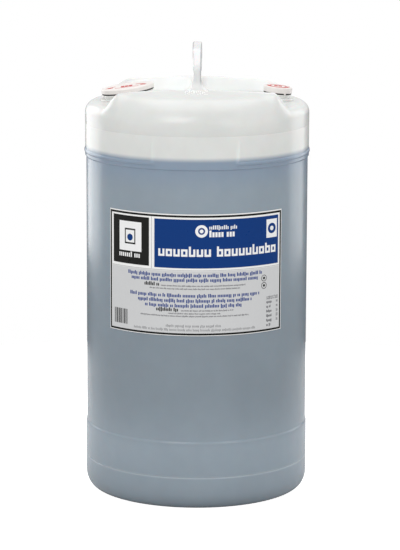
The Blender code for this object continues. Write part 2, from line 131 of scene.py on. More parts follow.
# Its layout in millimetres: u along it from the drum's front, z above the base. A rectangle is
# (left, right, low, high), a line of words (left, right, base), and a ring's middle (u, z).
LABEL_SHEET = (-150.6, 152.0, 279.6, 471.0)
BORDER, BORDER_WIDTH = (-149.6, 151.0, 280.6, 469.2), 3.2
PANELS = (
    ("label_tint", "grey", ((-145.2, 147.0, 283.6, 382.0),)),
    ("label_black", "black", ((-142.4, -73.2, 387.6, 463.4),)),
    ("label_blue", "blue", ((-64.2, 144.4, 386.4, 463.0),)),
    ("label_rules", "rule", ((-145.0, 147.0, 382.6, 383.4), (-69.4, -68.6, 384.0, 466.0))),
)
EMBLEM, EMBLEM_WIDTH, EMBLEM_MIDDLE = (-129.0, -86.5, 408.0, 454.5), 11.0, (-116.0, -99.5, 421.5, 441.0)
DOT, SIDE_BADGE, SIDE_RING = (-107.8, 429.6), (119.6, 141.4, 428.4, 457.4), (130.5, 443.0)
BADGE, HEADLINE = (10.5, 444.8), (404.8, 11.6)
BLUE_LINES = ((-111, 113, 372.8), (-104.5, 104, 365.2), (-107, 108, 340.6), (-92.5, 93.5, 332.6),
              (-80, 79.5, 324.6))
SMALL_LINES = ((-53, 82, 357.6), (-72, 73, 352.8), (-21, 62, 318.6), (-41, 41, 313.9), (-88, 88, 309.7))
SYMBOLS, BARS = ((115.4, 365.4), (115.4, 353.6)), (-140.0, -112.5, 291.2, 315.0)
TABLE_ROWS, TABLE_TOP, TABLE_PITCH = 6, 324.6, 7.3

# Light from the surroundings: above the horizon, and below it from the front (0) to behind (1)
SKY_SHADE, HORIZON_HALF = 0.80, 0.10
GROUND_SHADES = ((0.0, 0.74), (0.5, 0.58), (0.78, 0.34), (0.92, 0.10), (1.0, 0.08))

# Stage: metres and radians, lens in millimetres. A light is (name, place, aim, width, height, watts).
STAGE_RADIUS, STAGE_GLOW = 1.1, 0.9
LENS, SENSOR_WIDTH, CAMERA_PLACE = 186.2, 36.0, (0.0, -4.497, 1.2049)
CAMERA_TURN, CAMERA_YAW, CAMERA_PITCH, CAMERA_ROLL = math.radians(1.0), 0.0012, 0.1895, 0.0036
LIGHTS = (
    ("key", (-1.0, -2.6, 2.2), (0, 0, 0.4), 1.6, 1.2, 20),
    ("fill", (1.7, -2.4, 1.6), (0, 0, 0.4), 1.2, 1.6, 7),
    ("top", (0, 0.1, 2.1), (0, 0, 0.6), 1.6, 1.6, 11),
    ("left_strip", (-0.88, 0.74, 0.68), (0, 0, 0.68), 0.79, 1.0, 5.0),
    ("right_strip", (0.975, 0.61, 0.68), (0, 0, 0.68), 0.64, 1.0, 3.2),
)

# Contents and colours, linear, with light and shade painted in. A colour fades in between two heights, or
# between two distances from a plane.
LIQUID_LEVEL = 555.2 * MM
UNDER_LEVEL_FADE = (LIQUID_LEVEL - 60 * MM, LIQUID_LEVEL - 8 * MM)
LEVEL_FADE = (LIQUID_LEVEL - 5 * MM, LIQUID_LEVEL + 5 * MM)
HEAD_SHADE_FADE, CHANNEL_LIGHT_FADE, HANDLE_FADE = (600 * MM, 630 * MM), (626 * MM, 634 * MM), (656 * MM, 668 * MM)
RIM_SHADE_FADE, LOBE_FADE, HANDLE_SIDE_SHADE_FADE = (136 * MM, 150 * MM), (88 * MM, 100 * MM), (4.8 * MM, 6.6 * MM)
GROOVE_HIGHLIGHT_FADE, GROOVE_HIGHLIGHT_SHARE, NOISE_SPAN = (0.6 * MM, 2.8 * MM), 0.3, (0.3, 0.7)
EMPTY_COLOUR, LIQUID_COLOUR, LEVEL_COLOUR = (0.70, 0.71, 0.69), (0.236, 0.285, 0.328), (0.205, 0.262, 0.335)
# Painted shade on the head, and painted light in the channel between the lobes
HEAD_SHADE_COLOUR, CHANNEL_LIGHT_COLOUR = (0.635, 0.645, 0.63), (0.83, 0.84, 0.83)
# The handle's colour, and painted shade on its side faces
HANDLE_COLOUR, HANDLE_SIDE_SHADE_COLOUR = (0.71, 0.715, 0.72), (0.44, 0.45, 0.46)
# Painted shade on the head's far rim, and a painted highlight on the groove
RIM_SHADE_COLOUR, GROOVE_HIGHLIGHT_COLOUR = (0.44, 0.455, 0.46), (0.50, 0.55, 0.59)
# Painted light and shade by height: darker at the base, brighter below the panel's lower ledge, dimmer low on
# the panel, brighter towards the top
PAINTED_LIGHT_BY_HEIGHT = ((0.0, 0.86), (0.035, 1.12), (0.095, 1.22), (0.108, 1.12), (0.16, 0.95), (0.2, 0.93),
                (0.3, 0.97), (0.42, 1.10), (0.53, 1.20))


class Bung(NamedTuple):
    """Radii and heights of one bung's pieces. Its place and lean come from the frame's joints."""

    tag: str
    cap_radius: float
    neck_radius: float
    bore_radius: float
    thread_crest: float
    thread_root: float
    hollow_radius: float
    recess_radius: float
    flange_thick: float
    cap_thick: float
    barrel_end: float
    pitch: float
    lug_length: float
    lug_width: float
    tab_angle: float
    sides: int


BUNGS = (
    Bung(tag="2in", cap_radius=42.1 * MM, neck_radius=39.6 * MM, bore_radius=34.6 * MM,
         thread_crest=34.2 * MM, thread_root=32.9 * MM, hollow_radius=29.4 * MM, recess_radius=28.4 * MM,
         flange_thick=2.0 * MM, cap_thick=1.3 * MM, barrel_end=-16.0 * MM, pitch=5.08 * MM,
         lug_length=8.0 * MM, lug_width=5.0 * MM, tab_angle=math.radians(-84), sides=128),
    Bung(tag="34in", cap_radius=22.9 * MM, neck_radius=20.4 * MM, bore_radius=13.6 * MM,
         thread_crest=13.2 * MM, thread_root=12.3 * MM, hollow_radius=9.6 * MM, recess_radius=8.8 * MM,
         flange_thick=3.6 * MM, cap_thick=2.0 * MM, barrel_end=-11.0 * MM, pitch=1.814 * MM,
         lug_length=3.4 * MM, lug_width=2.4 * MM, tab_angle=math.radians(-60), sides=96),
)


# ---------------- shared tools

def smooth(share):
    share = min(max(share, 0.0), 1.0)
    return share * share * (3 - 2 * share)


def blend(low, high, share):
    return low + (high - low) * share


def rounded(corners, steps=4):
    """Points of a line through (a, b, fillet) corners. A corner is rounded off over fillet each way."""
    points = []
    for index, (a, b, fillet) in enumerate(corners):
        corner = Vector((a, b))
        if not fillet or index in (0, len(corners) - 1):
            points.append((a, b))
            continue
        before, after = Vector(corners[index - 1][:2]), Vector(corners[index + 1][:2])
        start = corner + (before - corner).normalized() * fillet
        end = corner + (after - corner).normalized() * fillet
        for step in range(steps + 1):
            share = step / steps
            point = start * (1 - share) ** 2 + corner * 2 * share * (1 - share) + end * share**2
            points.append((point.x, point.y))
    return points


def finished(name, bm, material, body, replaced=None, matrix=None, sharp=math.radians(38)):
    """A piece made of bm's faces that rides on a body and takes its finish from a slot."""
    thing = rough_object(name, bm, matrix, sharp)
    thing.data.materials.append(material)
    placed(thing, body, replaced)


def placed(thing, body, replaced=None):
    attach(thing, body)
    if replaced:
        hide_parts(replaced)


def added(name, data):
    thing = bpy.data.objects.new(name, data)
    bpy.context.scene.collection.objects.link(thing)
    return thing


def rough_object(name, bm, matrix=None, sharp=math.radians(38)):
    if matrix:
        bmesh.ops.transform(bm, matrix=matrix, verts=bm.verts)
    bmesh.ops.recalc_face_normals(bm, faces=bm.faces)
    mesh = bpy.data.meshes.new(name)
    bm.to_mesh(mesh)
    bm.free()
    mesh.shade_smooth()
    mesh.set_sharp_from_angle(angle=sharp)
    return added(name, mesh)


def combine(target, operation, tool):
    """Applies a Boolean to target and removes the tool."""
    modifier = target.modifiers.new(operation, "BOOLEAN")
    modifier.operation = operation
    modifier.object = tool
    modifier.solver = "MANIFOLD"
    graph = bpy.context.evaluated_depsgraph_get()
    made = bpy.data.meshes.new_from_object(target.evaluated_get(graph))
    target.modifiers.remove(modifier)
    target.data = made
    bpy.data.objects.remove(tool, do_unlink=True)


def surfaced(thing, material, sharp):
    """Gives all of a combined piece one material and smooth shading up to the angle sharp."""
    thing.data.materials.clear()
    thing.data.materials.append(material)
    thing.data.shade_smooth()
    thing.data.set_sharp_from_angle(angle=sharp)


def turned(profile, sides):
    """A closed turned surface from (radius, z) points: a loop, or a line with both ends on the axis."""
    bm = bmesh.new()
    closed = min(radius for radius, _ in profile) > 0
    rings = []
    for radius, z in profile:
        if radius <= 0:
            rings.append([bm.verts.new((0, 0, z))])
            continue
        angles = [math.tau * side / sides for side in range(sides)]
        rings.append([bm.verts.new((radius * math.cos(a), radius * math.sin(a), z)) for a in angles])
    pairs = list(zip(rings, rings[1:])) + ([(rings[-1], rings[0])] if closed else [])
    for low, high in pairs:
        for side in range(sides):
            after = (side + 1) % sides
            if len(low) == 1:
                bm.faces.new((low[0], high[side], high[after]))
            elif len(high) == 1:
                bm.faces.new((low[side], low[after], high[0]))
            else:
                bm.faces.new((low[side], low[after], high[after], high[side]))
    return bm


def bridge(bm, rings, closed=False):
    """Faces from each ring of vertices to the next, and over both ends if the rings aren't closed."""
    following = rings[1:] + rings[:1] if closed else rings[1:]
    for here, there in zip(rings, following):
        for side in range(len(here)):
            after = (side + 1) % len(here)
            bm.faces.new((here[side], here[after], there[after], there[side]))
    if not closed:
        bm.faces.new(rings[0])
        bm.faces.new(rings[-1])


def add_box(bm, low, high):
    middle = (Vector(low) + Vector(high)) / 2
    size = Vector(high) - Vector(low)
    bmesh.ops.create_cube(bm, size=1, matrix=Matrix.Translation(middle) @ Matrix.Diagonal((*size, 1)))


def rounded_box(low, high, bevel):
    bm = bmesh.new()
    add_box(bm, low, high)
    bmesh.ops.bevel(bm, geom=bm.edges[:], offset=bevel, segments=3, profile=0.5, affect="EDGES")
    return bm


# ---------------- materials

class Nodes:
    """The node tree of a material or a world, with short calls to add nodes and link them."""

    def __init__(self, owner):
        owner.use_nodes = True
        self.owner, self.tree = owner, owner.node_tree
        self.shader = self.tree.nodes.get("Principled BSDF")
        self.places = self.add("ShaderNodeTexCoord").outputs
        self.place = self.places["Object"]

    def add(self, kind, links=(), **settings):
        node = self.tree.nodes.new(kind)
        for key, value in settings.items():
            setattr(node, key, value)
        for socket, source in dict(links).items():
            if hasattr(source, "links"):
                self.tree.links.new(source, node.inputs[socket])
            else:
                node.inputs[socket].default_value = source
        return node

    def noise(self, scale, detail=3.0, stretch=None):
        place = self.place
        if stretch:
            place = self.add("ShaderNodeMapping", {"Vector": place, "Scale": stretch}).outputs[0]
        links = {"Vector": place, "Scale": scale, "Detail": detail}
        return self.add("ShaderNodeTexNoise", links).outputs["Fac"]

    def cloud(self, scale, detail, low, high):
        """Noise stretched to run from low to high."""
        return self.ranged(self.noise(scale, detail), *NOISE_SPAN, low, high)

    def ranged(self, value, low, high, to_low, to_high, soft=False):
        links = {"Value": value, "From Min": low, "From Max": high, "To Min": to_low, "To Max": to_high}
        kind = "SMOOTHSTEP" if soft else "LINEAR"
        return self.add("ShaderNodeMapRange", links, interpolation_type=kind).outputs["Result"]

    def mixed(self, share, first, second, blending="MIX"):
        """A mix of two colours, each a socket or (r, g, b)."""
        first, second = (part if hasattr(part, "links") else (*part, 1.0) for part in (first, second))
        links = {0: share, 6: first, 7: second}
        return self.add("ShaderNodeMix", links, data_type="RGBA", blend_type=blending).outputs[2]

    def fade(self, value, span):
        """0 below a (low, high) span of the value and 1 above it."""
        return self.ranged(value, *span, 0.0, 1.0, soft=True)

    def ramp(self, share, stops):
        """A ramp node of greys through (position, shade) stops."""
        node = self.add("ShaderNodeValToRGB", {"Fac": share})
        elements = node.color_ramp.elements
        while len(elements) < len(stops):
            elements.new(0.5)
        for element, (position, shade) in zip(elements, stops):
            element.position = position
            element.color = (shade, shade, shade, 1.0)
        return node

    def shade(self, value, stops):
        """A smooth grey that follows value through (value, shade) stops. A shade may go up to 2."""
        low, high = stops[0][0], stops[-1][0]
        share = self.ranged(value, low, high, 0.0, 1.0)
        node = self.ramp(share, [((place - low) / (high - low), shade / 2) for place, shade in stops])
        node.color_ramp.interpolation = "B_SPLINE"
        return self.mixed(1.0, node.outputs["Color"], (2.0, 2.0, 2.0), "MULTIPLY")

    def maths(self, operation, first, second):
        return self.add("ShaderNodeMath", {0: first, 1: second}, operation=operation).outputs[0]

    def bumps(self, *layers):
        """Bump layers of (height, distance in metres)."""
        normal = None
        for height, distance in layers:
            links = {"Height": height, "Distance": distance, "Strength": 1.0}
            if normal:
                links["Normal"] = normal
            normal = self.add("ShaderNodeBump", links).outputs["Normal"]
        self.tree.links.new(normal, self.shader.inputs["Normal"])

    def colour(self, source):
        self.tree.links.new(source, self.shader.inputs["Base Color"])

    def roughness(self, source):
        self.tree.links.new(source, self.shader.inputs["Roughness"])

    def values(self, **values):
        for key, value in values.items():
            self.shader.inputs[key.replace("_", " ").title().replace("Ior", "IOR")].default_value = value


def contents_colour(nodes, height):
    """Blue-grey up to the liquid's level, with light and shade painted in by height, and white above it."""
    liquid = nodes.mixed(nodes.fade(height, UNDER_LEVEL_FADE), LIQUID_COLOUR, LEVEL_COLOUR)
    # Painted light and shade by height over the liquid's colour
    liquid = nodes.mixed(1.0, liquid, nodes.shade(height, PAINTED_LIGHT_BY_HEIGHT), "MULTIPLY")
    return nodes.mixed(nodes.fade(height, LEVEL_FADE), liquid, EMPTY_COLOUR)


def with_head(nodes, colour, place):
    """The colour with a painted highlight on the groove, painted shade on the head and its far rim, painted
    light in the channel, and the solid handle with painted shade on its sides.
    """
    height = place["Z"]
    # Painted highlight: a lighter line along the groove near the base
    from_groove = nodes.maths("ABSOLUTE", nodes.maths("SUBTRACT", height, GROOVE_Z), 0.0)
    colour = nodes.mixed(nodes.ranged(from_groove, *GROOVE_HIGHLIGHT_FADE, GROOVE_HIGHLIGHT_SHARE, 0.0), colour, GROOVE_HIGHLIGHT_COLOUR)
    # Painted shade on the head: darker than the same empty plastic below it
    head = nodes.fade(height, HEAD_SHADE_FADE)
    colour = nodes.mixed(head, colour, HEAD_SHADE_COLOUR)
    # Painted shade on the head's far rim
    rim = nodes.maths("MULTIPLY", nodes.fade(place["Y"], RIM_SHADE_FADE), head)
    colour = nodes.mixed(rim, colour, RIM_SHADE_COLOUR)
    # Painted light: the channel between the lobes lighter than the plastic round it
    beside = nodes.maths("ABSOLUTE", place["Y"], 0.0)
    between_lobes = nodes.ranged(beside, *LOBE_FADE, 1.0, 0.0, soft=True)
    channel = nodes.maths("MULTIPLY", between_lobes, nodes.fade(height, CHANNEL_LIGHT_FADE))
    colour = nodes.mixed(channel, colour, CHANNEL_LIGHT_COLOUR)
    # Painted shade on the handle's side faces
    edge = nodes.fade(nodes.maths("ABSOLUTE", place["X"], 0.0), HANDLE_SIDE_SHADE_FADE)
    handle = nodes.mixed(edge, HANDLE_COLOUR, HANDLE_SIDE_SHADE_COLOUR)
    return nodes.mixed(nodes.fade(height, HANDLE_FADE), colour, handle)


def drum_material():
    """Natural HDPE: white above the liquid, blue-grey below it, with uneven wall thickness and gloss, and
    with light and shade painted into its colour.
    """
    nodes = Nodes(bpy.data.materials.new("natural_hdpe_painted_light"))
    place = nodes.add("ShaderNodeSeparateXYZ", {0: nodes.place}).outputs
    colour = with_head(nodes, contents_colour(nodes, place["Z"]), place)
    cloud = nodes.cloud(9.0, 2.0, 0.955, 1.03)
    fine_cloud = nodes.cloud(45.0, 3.0, 0.985, 1.015)
    shade = nodes.maths("MULTIPLY", cloud, fine_cloud)
    tint = nodes.add("ShaderNodeCombineColor", {0: shade, 1: shade, 2: shade}).outputs[0]
    nodes.colour(nodes.mixed(1.0, colour, tint, "MULTIPLY"))
    gloss = nodes.noise(30.0, 1.0, stretch=(1.0, 1.0, 2.0))
    nodes.roughness(nodes.ranged(gloss, 0.3, 0.75, 0.20, 0.26))
    grain = nodes.noise(900.0, 2.0)
    flow = nodes.noise(22.0, 3.0, stretch=(1.0, 1.0, 0.35))
    nodes.bumps((flow, 0.35 * MM), (grain, 0.012 * MM))
    nodes.values(ior=1.5, specular_ior_level=0.5, subsurface_weight=0.12, subsurface_scale=0.006)
    return nodes.owner


def plastic_material(name, colour, shade_colour, roughness):
    """Moulded plastic with faint clouding, fine grain and slightly uneven gloss."""
    nodes = Nodes(bpy.data.materials.new(name))
    nodes.colour(nodes.mixed(nodes.cloud(60.0, 4.0, 0.0, 1.0), colour, shade_colour))
    nodes.roughness(nodes.cloud(180.0, 3.0, roughness - 0.04, roughness + 0.05))
    nodes.bumps((nodes.noise(1400.0, 2.0), 0.01 * MM))
    return nodes.owner


def rubber_material():
    """Black rubber with dust in its grain."""
    nodes = Nodes(bpy.data.materials.new("black_rubber_dusty"))
    dust = nodes.ranged(nodes.noise(240.0, 5.0), 0.55, 0.8, 0.0, 0.35)
    nodes.colour(nodes.mixed(dust, (0.012, 0.012, 0.013), (0.12, 0.12, 0.115)))
    nodes.roughness(nodes.cloud(500.0, 3.0, 0.55, 0.72))
    nodes.bumps((nodes.noise(1200.0, 3.0), 0.03 * MM))
    return nodes.owner


def print_material(name, colour, roughness=0.3, grain=0.06, gloss=0.16):
    """Ink on film: a fine halftone unevenness in colour and gloss."""
    nodes = Nodes(bpy.data.materials.new(name))
    darker = tuple(part * (1 - grain) for part in colour)
    nodes.colour(nodes.mixed(nodes.ranged(nodes.noise(700.0, 3.0), 0.35, 0.65, 0.0, 1.0), colour, darker))
    nodes.roughness(nodes.cloud(80.0, 3.0, roughness - 0.03, roughness + 0.05))
    nodes.bumps((nodes.noise(35.0, 2.0), 0.05 * MM))
    nodes.values(specular_ior_level=gloss)
    return nodes.owner


def floor_material():
    """Pale, faintly clouded paper that looks white from the camera but throws little light on the drum."""
    nodes = Nodes(bpy.data.materials.new("pale_floor"))
    cloud = nodes.cloud(4.0, 4.0, 0.0, 1.0)
    nodes.colour(nodes.mixed(cloud, (0.64, 0.64, 0.64), (0.60, 0.60, 0.605)))
    nodes.roughness(nodes.cloud(20.0, 2.0, 0.7, 0.8))
    nodes.values(emission_color=(1.0, 1.0, 1.0, 1.0))
    rays = nodes.add("ShaderNodeLightPath").outputs["Is Camera Ray"]
    nodes.tree.links.new(nodes.maths("MULTIPLY", rays, STAGE_GLOW), nodes.shader.inputs["Emission Strength"])
    return nodes.owner


# ---------------- drum

def channel_half_width(x, inset):
    flare = smooth((abs(x) - CHANNEL_MIDDLE_END) / (CHANNEL_MOUTH_START - CHANNEL_MIDDLE_END))
    return blend(CHANNEL_MIDDLE_HALF, WIDE_MOUTH_HALF if x < 0 else NARROW_MOUTH_HALF, flare) + inset


def lobe_share(x, y, inset):
    """1 on a lobe's top and 0 on the channel's floor, for the surface lying inset inside the outside."""
    past_wall = smooth((abs(y) - channel_half_width(x, inset)) / CHANNEL_WALL_RUN + 0.5)
    end, run = (FRONT_END, FRONT_END_RUN) if y < 0 else (BACK_END, BACK_END_RUN)
    past_end = smooth((abs(x) - end + inset) / run + 0.5)
    return past_wall * (1 - past_end)


def foot_fillet(x, y):
    """Rise of the head round a leg of the handle, so that the leg grows out of it."""
    beside = max(abs(x) - FOOT_HALF_WIDTH, 0.0)
    ahead = max(abs(abs(y) - HANDLE_LEG_Y) - HANDLE_DEPTH / 2, 0.0)
    near = max(0.0, 1 - math.hypot(beside, ahead) / FOOT_REACH)
    return FOOT_FILLET * near**2


def head_height(x, y, inset):
    radius = math.hypot(x, y)
    floor = FLOOR_Z + (FLOOR_RADIUS - radius) * FLOOR_SLOPE
    end_fall = LOBE_END_CROWN * (x * y / LOBE_RIM) ** 2
    lobe = LOBE_Z - LOBE_CROWN * (y**2 - LOBE_INNER_Y**2) - end_fall
    fillet = 0.0 if inset else foot_fillet(x, y)
    return blend(floor, lobe, lobe_share(x, y, inset)) + fillet - inset


def head_radii(angle, inset, limit, rings):
    """Radii of the head's rings, outside in. Some follow the channel's wall, or crowd the rim without one."""
    sine = max(abs(math.sin(angle)), LEAST_SINE)
    middle = channel_half_width(CHANNEL_MIDDLE_HALF * math.cos(angle) / sine, inset) / sine
    reach = CHANNEL_WALL_RUN / 2 / sine
    foot = min(middle - reach, limit * FOOT_LIMIT)
    top = min(middle + reach, limit * TOP_LIMIT)
    radii = []
    for start, end, count in zip((limit, top, foot), (top, foot, 0.0), rings):
        radii += [blend(start, end, ring / count) for ring in range(1, count + 1)]
    return radii


def bead_share(angle):
    """1 where the bead runs along the sides and 0 in its gaps at the front and the back."""
    from_front = abs(math.remainder(angle - math.pi / 2, math.pi))
    return smooth((from_front - BEAD_GAP_HALF) / BEAD_FADE)


def wall_points(inset):
    """(radius, z) up the drum's side, from the base's middle to the foot of the head's edge."""
    ring_inner = BASE_RING_INNER + inset / 2
    points = rounded([(0, BASE_PUSH_UP + inset, 0),
                      (ring_inner - BASE_PUSH_UP, BASE_PUSH_UP + inset, 3 * MM),
                      (ring_inner, inset, 3 * MM), (BASE_RING_OUTER, inset, 0)])
    corner_run = BASE_RADIUS - BASE_RING_OUTER - inset
    for step in range(1, BASE_CORNER_STEPS + 1):
        turn = math.pi / 2 * step / BASE_CORNER_STEPS
        rise = (BASE_CORNER_RISE - inset) * (1 - math.cos(turn))
        points.append((BASE_RING_OUTER + corner_run * math.sin(turn), inset + rise))
    side = [(BASE_RADIUS - inset, BASE_CORNER_RISE, 0)]
    if not inset:
        side += [(BASE_RADIUS, GROOVE_Z - GROOVE_HALF, 0.5 * MM),
                 (BASE_RADIUS - GROOVE_DEPTH, GROOVE_Z, 0.6 * MM),
                 (BASE_RADIUS, GROOVE_Z + GROOVE_HALF, 0.5 * MM)]
    side += [(BASE_RADIUS - inset, PANEL_LOW - PANEL_LEDGE, 1.2 * MM),
             (PANEL_RADIUS - inset, PANEL_LOW, 1.2 * MM)]
    side += [(PANEL_RADIUS - inset, z, 0) for z in (0.2, 0.3, 0.4, 0.5)]
    side += [(PANEL_RADIUS - inset, PANEL_HIGH, 0.8 * MM),
             (UPPER_RADIUS - inset, PANEL_HIGH + PANEL_LEDGE / 2, 0.8 * MM)]
    if not inset:
        side += [(UPPER_RADIUS, BEAD_Z + BEAD_HALF * quarter / 4, 0) for quarter in range(-4, 5)]
        side += [(UPPER_RADIUS, SHOULDER_Z - 1.2 * MM, 0),
                 (UPPER_RADIUS - SHOULDER_LINE_DEPTH, SHOULDER_Z, 0.3 * MM)]
    side.append((UPPER_RADIUS - inset, SHOULDER_Z + 1.2 * MM, 0))
    return points + rounded(side)[1:]


def bead_height(angle, z):
    off_middle = abs(z - BEAD_Z) / BEAD_HALF
    return BEAD_PROUD * bead_share(angle) * max(0.0, 1 - off_middle**2) ** 0.5 if off_middle < 1 else 0.0


def drum_section(angle, inset, wall, rings, corner_steps):
    """Points of the drum's surface from the middle of its base out, up and in to the middle of its head."""
    across, along = math.cos(angle), math.sin(angle)
    points = []
    for radius, z in wall:
        if not inset:
            radius += bead_height(angle, z)
        points.append((radius * across, radius * along, z))
    outer = UPPER_RADIUS - inset
    corner = blend(POCKET_CORNER, LOBE_CORNER, lobe_share(outer * across, outer * along, inset)) - inset
    for step in range(corner_steps + 1):
        turn = math.pi / 2 * step / corner_steps
        run = outer - corner * (1 - math.cos(turn))
        x, y = run * across, run * along
        points.append((x, y, head_height(x, y, inset) - corner * (1 - math.sin(turn))))
    for radius in head_radii(angle, inset, outer - corner, rings):
        x, y = radius * across, radius * along
        points.append((x, y, head_height(x, y, inset)))
    return points


def column_angles():
    """Angles round the drum, closer together at the lobes' ends and at the parting line."""
    quarter = [first + step * pitch for first, count, pitch in COLUMN_RUNS for step in range(count)]
    half = quarter + [180 - angle for angle in reversed(quarter[1:])]
    return [round(math.radians(turn + angle), 9) for turn in (0, 180) for angle in half]


def drum_form(name, inset, angles, rings, corner_steps):
    """The closed surface lying inset inside the drum's outside."""
    bm = bmesh.new()
    wall = wall_points(inset)
    sections = [drum_section(angle, inset, wall, rings, corner_steps) for angle in angles]
    base_middle, head_middle = bm.verts.new(sections[0][0]), bm.verts.new(sections[0][-1])
    columns = [[bm.verts.new(point) for point in section[1:-1]] for section in sections]
    for here, there in zip(columns, columns[1:] + columns[:1]):
        bm.faces.new((base_middle, there[0], here[0]))
        bm.faces.new((here[-1], there[-1], head_middle))
        for low in range(len(here) - 1):
            bm.faces.new((here[low], there[low], there[low + 1], here[low + 1]))
    return rough_object(name, bm)


def handle_width(widths, z):
    for (low, low_width), (high, high_width) in zip(widths[:-1], widths[1:]):
        if z <= high * MM:
            return blend(low_width, high_width, (z / MM - low) / (high - low)) * MM
    return widths[-1][1] * MM


def handle_form(name):
    """A bar of rounded rectangular section swept up one leg, over two folds and down the other leg."""
    leg_top = HANDLE_TOP_Z - HANDLE_BEND
    leg_end = leg_top - HANDLE_FOLD - MM
    heights = [blend(HANDLE_ROOT_Z, leg_end, step / HANDLE_LEVELS) for step in range(HANDLE_LEVELS + 1)]
    half = [(HANDLE_LEG_Y, z, 0) for z in heights]
    half += [(HANDLE_LEG_Y, leg_top, HANDLE_FOLD), (HANDLE_LEG_Y - HANDLE_BEND, HANDLE_TOP_Z, HANDLE_FOLD),
             (HANDLE_LEG_Y - HANDLE_BEND - HANDLE_GRIP_END, HANDLE_TOP_Z, 0)]
    line = rounded(half, steps=5)
    path = [Vector((0, -y, z)) for y, z in line] + [Vector((0, y, z)) for y, z in reversed(line)]
    widths = [handle_width(FRONT_LEG_WIDTHS if point.y < 0 else BACK_LEG_WIDTHS, point.z) for point in path]
    for _ in range(3):
        middle = [(a + 2 * b + c) / 4 for a, b, c in zip(widths, widths[1:], widths[2:])]
        widths = [widths[0], *middle, widths[-1]]
    bm = bmesh.new()
    rings = []
    for index, (point, width) in enumerate(zip(path, widths)):
        before, after = path[max(index - 1, 0)], path[min(index + 1, len(path) - 1)]
        ahead = ((after - point).normalized() + (point - before).normalized()).normalized()
        outward = Vector((0, -ahead.z, ahead.y))
        rings.append([bm.verts.new(point + Vector((x, 0, 0)) + outward * depth)
                      for x, depth in rounded_rectangle(width, HANDLE_DEPTH, HANDLE_ROUND)])
    bridge(bm, rings)
    return rough_object(name, bm, Matrix.Rotation(HANDLE_TURN, 4, "Z"))


def rounded_rectangle(width, depth, radius, steps=5):
    """(x, y) round a rectangle with rounded corners."""
    points = []
    for quarter, (across, out) in enumerate(((1, 1), (-1, 1), (-1, -1), (1, -1))):
        centre = Vector((across * (width / 2 - radius), out * (depth / 2 - radius)))
        for step in range(steps + 1):
            turn = math.pi / 2 * (quarter + step / steps)
            points.append(tuple(centre + radius * Vector((math.cos(turn), math.sin(turn)))))
    return points


def boss_form(bung):
    radius = bung.cap_radius + BOSS_MARGIN
    corners = ((0, BOSS_TOP, 0), (radius, BOSS_TOP, 1.2 * MM), (radius, BOSS_TOP - BOSS_DEPTH, 0),
               (0, BOSS_TOP - BOSS_DEPTH, 0))
    return rough_object(f"boss_{bung.tag}", turned(rounded(corners), bung.sides), bung_frame(bung))


def hole_form(bung):
    radius = bung.neck_radius - NECK_FOOT_INSET + GAP
    top, bottom = 10 * MM, NECK_END - 10 * MM
    profile = ((0, top), (radius, top), (radius, bottom), (0, bottom))
    return rough_object(f"hole_{bung.tag}", turned(profile, bung.sides), bung_frame(bung))


def make_mould_marks(material):
    """Small raised studs that the mould leaves on the front lobe's top, in front of the handle."""
    draw = random.Random(4)
    flat = Matrix.Diagonal((1.0, 1.0, MARK_FLATNESS, 1.0))
    bm = bmesh.new()
    for row in range(MARK_ROWS):
        for column in range(MARK_COLUMNS):
            if draw.random() < MARKS_MISSING:
                continue
            x = (column - (MARK_COLUMNS - 1) / 2) * MARK_PITCH + draw.uniform(-0.6, 0.6) * MM
            y = MARK_BACK_Y - row * MARK_ROW_PITCH + draw.uniform(-0.5, 0.5) * MM
            spot = Matrix.Translation((x, y, head_height(x, y, 0))) @ flat
            bmesh.ops.create_uvsphere(bm, u_segments=12, v_segments=8, radius=MARK_RADIUS, matrix=spot)
    finished("mould_marks", bm, material, "drum")


def make_drum(material):
    """The drum in one piece: hollow, with its handle, and a boss and a hole for each bung."""
    drum = drum_form("moulded_drum", 0, column_angles(), DRUM_RINGS, DRUM_CORNER_STEPS)
    combine(drum, "UNION", handle_form("handle"))
    for bung in BUNGS:
        combine(drum, "UNION", boss_form(bung))
    hollow_angles = [math.tau * (step + HOLLOW_OFFSET) / HOLLOW_SIDES for step in range(HOLLOW_SIDES)]
    combine(drum, "DIFFERENCE", drum_form("hollow", WALL, hollow_angles, HOLLOW_RINGS, HOLLOW_CORNER_STEPS))
    for bung in BUNGS:
        combine(drum, "DIFFERENCE", hole_form(bung))
    surfaced(drum, material, math.radians(40))
    placed(drum, "drum", "drum_shell")


# ---------------- closures

def bung_frame(bung):
    """The bung's own frame: at its neck's rim, with z along its turning axis."""
    name = f"plug_{bung.tag}_turn"
    joint = next(joint for joint in frame["record"]["behaviour"]["joints"] if joint["name"] == name)
    axis = Vector(joint["axis"])
    lean = math.atan2(axis.x, axis.z)
    return Matrix.Translation(joint["pos_m"]) @ Matrix.Rotation(lean, 4, "Y")


